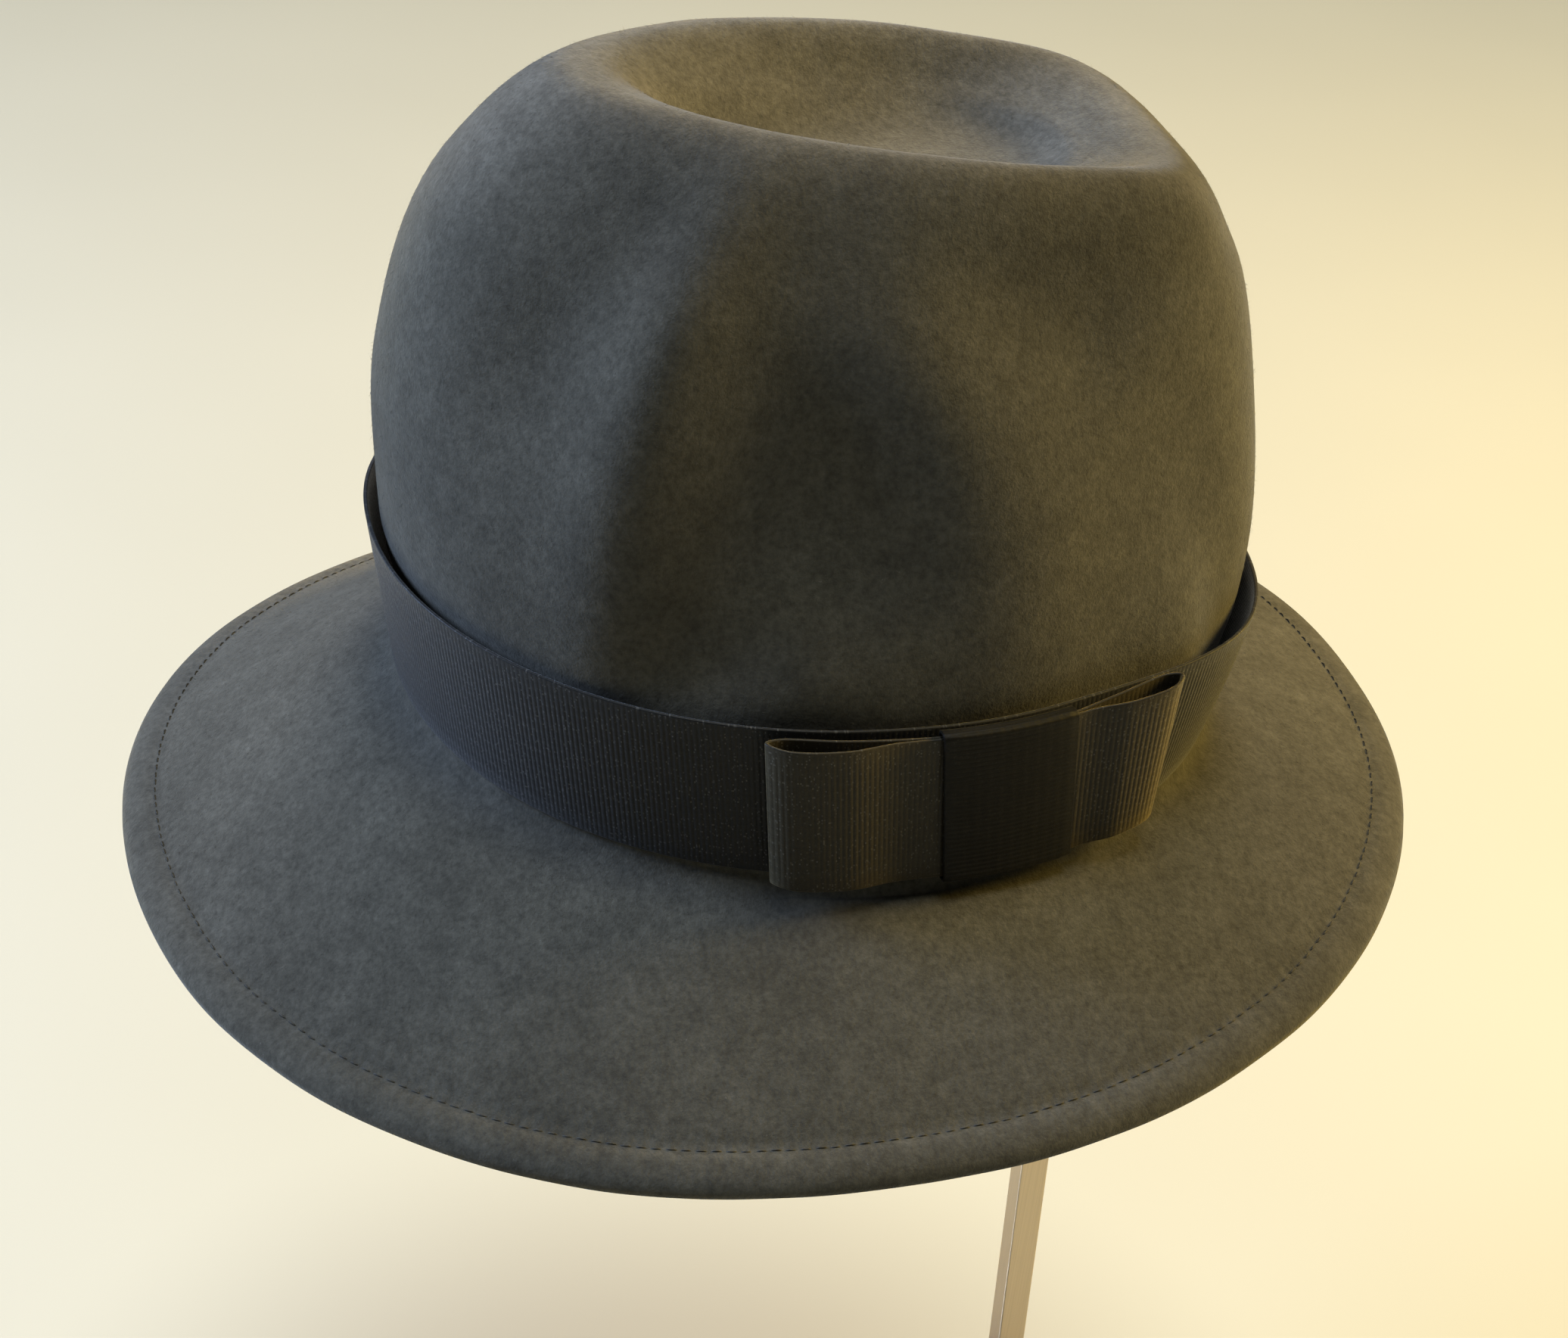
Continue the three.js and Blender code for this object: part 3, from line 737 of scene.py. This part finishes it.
def bump(tree, height, strength, distance, under=None):
    node = tree.nodes.new("ShaderNodeBump")
    node.inputs["Strength"].default_value = strength
    node.inputs["Distance"].default_value = distance
    tree.links.new(height, node.inputs["Height"])
    if under is not None:
        tree.links.new(under, node.inputs["Normal"])
    return node.outputs["Normal"]


def set_shader(shader, **values):
    for key, value in values.items():
        shader.inputs[key.replace("_", " ")].default_value = value


FELT_COLOUR = (0.0648, 0.0622, 0.0523)
# Painted highlight: the felt's colour is made lighter on top of the crown and towards one side, in place of
# light the lamps leave short there: heights and sideways places in metres between which this fades in, and how
# much lighter.
PAINTED_TOP_HEIGHT = (0.432, 0.46)
PAINTED_TOP_SIDE = (0.03, 0.0)
PAINTED_TOP_LIGHT = (1.46, 1.47, 1.52, 1)


def scaled(colour, factor):
    return tuple(c * factor for c in colour)


def felt_material():
    """Mottled felt, with a painted highlight that makes the top of the crown lighter."""
    material, tree, shader = new_material("grey felt")
    place = add_node(tree, "ShaderNodeTexCoord").outputs["Object"]
    broad = ramp(tree, noise(tree, place, 28, 3), [(0.3, scaled(FELT_COLOUR, 0.86)),
                                                    (0.7, scaled(FELT_COLOUR, 1.12))])
    fleck = ramp(tree, noise(tree, place, 620, 5, 0.7), [(0.3, (0.66, 0.66, 0.66)), (0.7, (1.32, 1.32, 1.32))])
    patch = ramp(tree, noise(tree, place, 170, 2), [(0.32, (0.87, 0.87, 0.87)), (0.68, (1.13, 1.13, 1.13))])
    mottled = mix(tree, "MULTIPLY", 1.0, mix(tree, "MULTIPLY", 1.0, broad, patch), fleck)
    dust = ramp(tree, noise(tree, place, 1400, 2, 0.5), [(0.74, (0, 0, 0)), (0.79, (0.9, 0.9, 0.9))])
    dusty = mix(tree, "ADD", 0.05, mottled, dust)
    axes = add_node(tree, "ShaderNodeSeparateXYZ")
    tree.links.new(place, axes.inputs["Vector"])
    # Painted highlight: lighter colour on top of the crown, fading in with height and towards one side.
    painted_top_mask = add_node(tree, "ShaderNodeMath", operation="MULTIPLY")
    tree.links.new(fade(tree, axes.outputs["Z"], *PAINTED_TOP_HEIGHT), painted_top_mask.inputs[0])
    tree.links.new(fade(tree, axes.outputs["X"], *PAINTED_TOP_SIDE), painted_top_mask.inputs[1])
    colour = mix(tree, "MULTIPLY", painted_top_mask.outputs["Value"], dusty, PAINTED_TOP_LIGHT)
    tree.links.new(colour, shader.inputs["Base Color"])
    pile = bump(tree, noise(tree, place, 1500, 4, 0.65), 0.5, 0.0004)
    soft = bump(tree, noise(tree, place, 260, 3), 0.3, 0.0006, pile)
    tree.links.new(soft, shader.inputs["Normal"])
    set_shader(shader, Roughness=0.95, Specular_IOR_Level=0.12, Sheen_Weight=0.3, Sheen_Roughness=0.45,
               Sheen_Tint=(0.8, 0.78, 0.7, 1))
    return material


def nap_material():
    material, tree, shader = new_material("felt nap")
    place = add_node(tree, "ShaderNodeTexCoord").outputs["Object"]
    colour = ramp(tree, noise(tree, place, 900, 2), [(0.35, scaled(FELT_COLOUR, 0.9)),
                                                      (0.75, scaled(FELT_COLOUR, 2.2))])
    tree.links.new(colour, shader.inputs["Base Color"])
    set_shader(shader, Roughness=0.8, Specular_IOR_Level=0.2)
    return material


def thread_material():
    material, tree, shader = new_material("felt thread")
    place = add_node(tree, "ShaderNodeTexCoord").outputs["Object"]
    colour = ramp(tree, noise(tree, place, 2200, 2), [(0.3, scaled(FELT_COLOUR, 0.35)),
                                                       (0.7, scaled(FELT_COLOUR, 0.75))])
    tree.links.new(colour, shader.inputs["Base Color"])
    set_shader(shader, Roughness=0.6, Specular_IOR_Level=0.3)
    return material


RIBBON_COLOUR = (0.004, 0.004, 0.0042)
# Size of one thread's float along and across the ribbon, and the pitch of the floats, in metres.
FLOAT_SIZE = (0.0003, 0.0004)
FLOAT_PITCH = 0.00045


def ribbon_material(name, specular, sheen, painted_glint_share, tint=(1, 1, 1)):
    """Black grosgrain: fine floats across each rib, with painted glints: a few threads made lighter in colour,
    as though catching the light, and glossier.
    """
    material, tree, shader = new_material(name)
    weave = add_node(tree, "ShaderNodeUVMap", uv_map="weave").outputs["UV"]
    cells = add_node(tree, "ShaderNodeMapping")
    cells.inputs["Scale"].default_value = (1 / FLOAT_SIZE[0], 1 / FLOAT_SIZE[1], 1)
    tree.links.new(weave, cells.inputs["Vector"])
    speck = add_node(tree, "ShaderNodeTexWhiteNoise")
    snapped = add_node(tree, "ShaderNodeVectorMath", operation="FLOOR")
    tree.links.new(cells.outputs["Vector"], snapped.inputs[0])
    tree.links.new(snapped.outputs["Vector"], speck.inputs["Vector"])
    # Painted glints: a few float cells get a lighter colour, added in the share given.
    painted_glints = ramp(tree, speck.outputs["Value"], [(0.93, (0, 0, 0)), (1.0, (0.16, 0.16, 0.16))])
    wear = ramp(tree, noise(tree, weave, 140, 3), [(0.3, scaled(RIBBON_COLOUR, 0.8)),
                                                    (0.7, scaled(RIBBON_COLOUR, 1.3))])
    colour = mix(tree, "ADD", painted_glint_share, wear, painted_glints)
    tree.links.new(colour, shader.inputs["Base Color"])
    floats = add_node(tree, "ShaderNodeTexWave", wave_type="BANDS", bands_direction="Y")
    floats.inputs["Scale"].default_value = 1 / FLOAT_PITCH / 20
    floats.inputs["Distortion"].default_value = 1.5
    floats.inputs["Detail Scale"].default_value = 60
    tree.links.new(weave, floats.inputs["Vector"])
    fine = bump(tree, floats.outputs["Fac"], 0.35, 0.0001)
    rough = bump(tree, noise(tree, weave, 1600, 2), 0.3, 0.00015, fine)
    tree.links.new(rough, shader.inputs["Normal"])
    gloss = ramp(tree, speck.outputs["Value"], [(0.0, (0.55, 0.55, 0.55)), (1.0, (0.36, 0.36, 0.36))])
    tree.links.new(gloss, shader.inputs["Roughness"])
    set_shader(shader, Specular_IOR_Level=specular, Sheen_Weight=sheen, Sheen_Roughness=0.5,
               Sheen_Tint=(*tint, 1))
    return material


def nickel_material():
    """Satin nickel with fine brush lines along the bar."""
    material, tree, shader = new_material("satin nickel")
    place = add_node(tree, "ShaderNodeTexCoord").outputs["Object"]
    lines = add_node(tree, "ShaderNodeMapping")
    lines.inputs["Scale"].default_value = (2600, 2600, 18)
    tree.links.new(place, lines.inputs["Vector"])
    brushed = noise(tree, lines.outputs["Vector"], 1.0, 2)
    colour = ramp(tree, brushed, [(0.3, (0.54, 0.45, 0.33)), (0.7, (0.62, 0.52, 0.39))])
    tree.links.new(colour, shader.inputs["Base Color"])
    dull = ramp(tree, brushed, [(0.3, (0.3, 0.3, 0.3)), (0.7, (0.42, 0.42, 0.42))])
    tree.links.new(dull, shader.inputs["Roughness"])
    tree.links.new(bump(tree, brushed, 0.15, 0.00005), shader.inputs["Normal"])
    set_shader(shader, Metallic=1.0)
    return material


def floor_material():
    material, tree, shader = new_material("pale floor")
    place = add_node(tree, "ShaderNodeTexCoord").outputs["Object"]
    colour = ramp(tree, noise(tree, place, 3, 2), [(0.3, (0.49, 0.49, 0.43)), (0.7, (0.51, 0.51, 0.45))])
    tree.links.new(colour, shader.inputs["Base Color"])
    set_shader(shader, Roughness=0.9, Specular_IOR_Level=0.1)
    return material


# Stage

def camera_axes():
    azimuth = math.radians(CAMERA_AZIMUTH)
    elevation = math.radians(CAMERA_ELEVATION)
    back = Vector((math.sin(azimuth) * math.cos(elevation), -math.cos(azimuth) * math.cos(elevation),
                   math.sin(elevation)))
    right = Vector((math.cos(azimuth), math.sin(azimuth), 0))
    return back, right, back.cross(right)


def add_camera():
    back, right, up = camera_axes()
    position = CAMERA_TARGET + back * CAMERA_DISTANCE
    look = CAMERA_TARGET + right * CAMERA_OFFSET[0] + up * CAMERA_OFFSET[1]
    forward = (look - position).normalized()
    level = forward.cross(Vector((0, 0, 1))).normalized()
    above = level.cross(forward)
    roll = math.radians(CAMERA_ROLL)
    x = math.cos(roll) * level + math.sin(roll) * above
    y = -math.sin(roll) * level + math.cos(roll) * above
    data = bpy.data.cameras.new("camera")
    data.sensor_fit = "HORIZONTAL"
    data.sensor_width = SENSOR_WIDTH
    data.lens = FOCAL_PIXELS / IMAGE_WIDTH * SENSOR_WIDTH
    data.clip_start = 0.02
    data.clip_end = 50
    camera = bpy.data.objects.new("camera", data)
    axes = Matrix((x, y, -forward)).transposed().to_4x4()
    camera.matrix_world = Matrix.Translation(position) @ axes
    bpy.context.scene.collection.objects.link(camera)
    bpy.context.scene.camera = camera


def add_light(name, place, size, power, colour, target):
    data = bpy.data.lights.new(name, "AREA")
    data.shape = "DISK"
    data.size = size
    data.energy = power
    data.color = colour
    light = bpy.data.objects.new(name, data)
    light.location = place
    light.rotation_mode = "QUATERNION"
    light.rotation_quaternion = (target - place).to_track_quat("-Z", "Y")
    bpy.context.scene.collection.objects.link(light)


def add_lights():
    _, right, _ = camera_axes()
    up = Vector((0, 0, 1))
    near = right.cross(up)
    for name, round_right, elevation, power, colour in LIGHTS:
        a = math.radians(round_right)
        e = math.radians(elevation)
        way = (right * math.sin(a) + near * math.cos(a)) * math.cos(e) + up * math.sin(e)
        add_light(name, LIT_POINT + way * LIGHT_DISTANCE, LIGHT_SIZE, power, colour, LIT_POINT)
    strength, across, colour = TOP_LIGHT
    data = bpy.data.lights.new("soft top", "SUN")
    data.energy = strength
    data.angle = math.radians(across)
    data.color = colour
    top = bpy.data.objects.new("soft top", data)
    bpy.context.scene.collection.objects.link(top)
    world = bpy.data.worlds.new("soft room")
    world.use_nodes = True
    shade = world.node_tree.nodes["Background"]
    shade.inputs["Color"].default_value = (1.0, 0.95, 0.84, 1)
    shade.inputs["Strength"].default_value = 0.006
    bpy.context.scene.world = world


def add_floor():
    mesh = bpy.data.meshes.new("floor")
    reach = 12
    mesh.from_pydata([(-reach, -reach, 0), (reach, -reach, 0), (reach, reach, 0), (-reach, reach, 0)],
                     [], [(0, 1, 2, 3)])
    floor = bpy.data.objects.new("floor", mesh)
    floor.data.materials.append(floor_material())
    bpy.context.scene.collection.objects.link(floor)


def dress(piece, material, node):
    piece.data.materials.append(material)
    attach(piece, "root")
    if node:
        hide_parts(node)


def main():
    add_camera()
    add_lights()
    add_floor()
    bpy.context.scene.view_settings.view_transform = "Standard"

    dress(felt_hat(), felt_material(), "felt_body")
    dress(brim_stitches(), thread_material(), None)
    dress(felt_nap(), nap_material(), None)

    ribbon = ribbon_material("black grosgrain", 0.2, 0.19, 0.35)
    # Lit copy of the ribbon for the loops: more sheen with a warm tint, a painted warm sheen in place of the
    # warm lamp's light on them.
    loops = ribbon_material("black grosgrain loops painted warm sheen", 0.22, 0.37, 0.38, (1, 0.84, 0.5))
    # Shaded copy of the ribbon for the knot, whose ribs run crossways: less gloss, sheen and glint, as painted
    # shade, to keep it darker than the band and loops under the side lights.
    crossways_painted_shade = ribbon_material("black grosgrain crossways", 0.13, 0.05, 0.05)
    band = hatband_ribbon()
    dress(band, ribbon, "hatband")
    bow, bow_length = bow_ribbon()
    dress(bow, loops, "bow_loops")
    knot, knot_width, knot_length = knot_ribbon()
    dress(knot, crossways_painted_shade, "bow_knot")

    nickel = nickel_material()
    for node in ("stand_base", "stand_post", "stand_rest"):
        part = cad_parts[node]
        part.data.materials.clear()
        part.data.materials.append(nickel)


main()
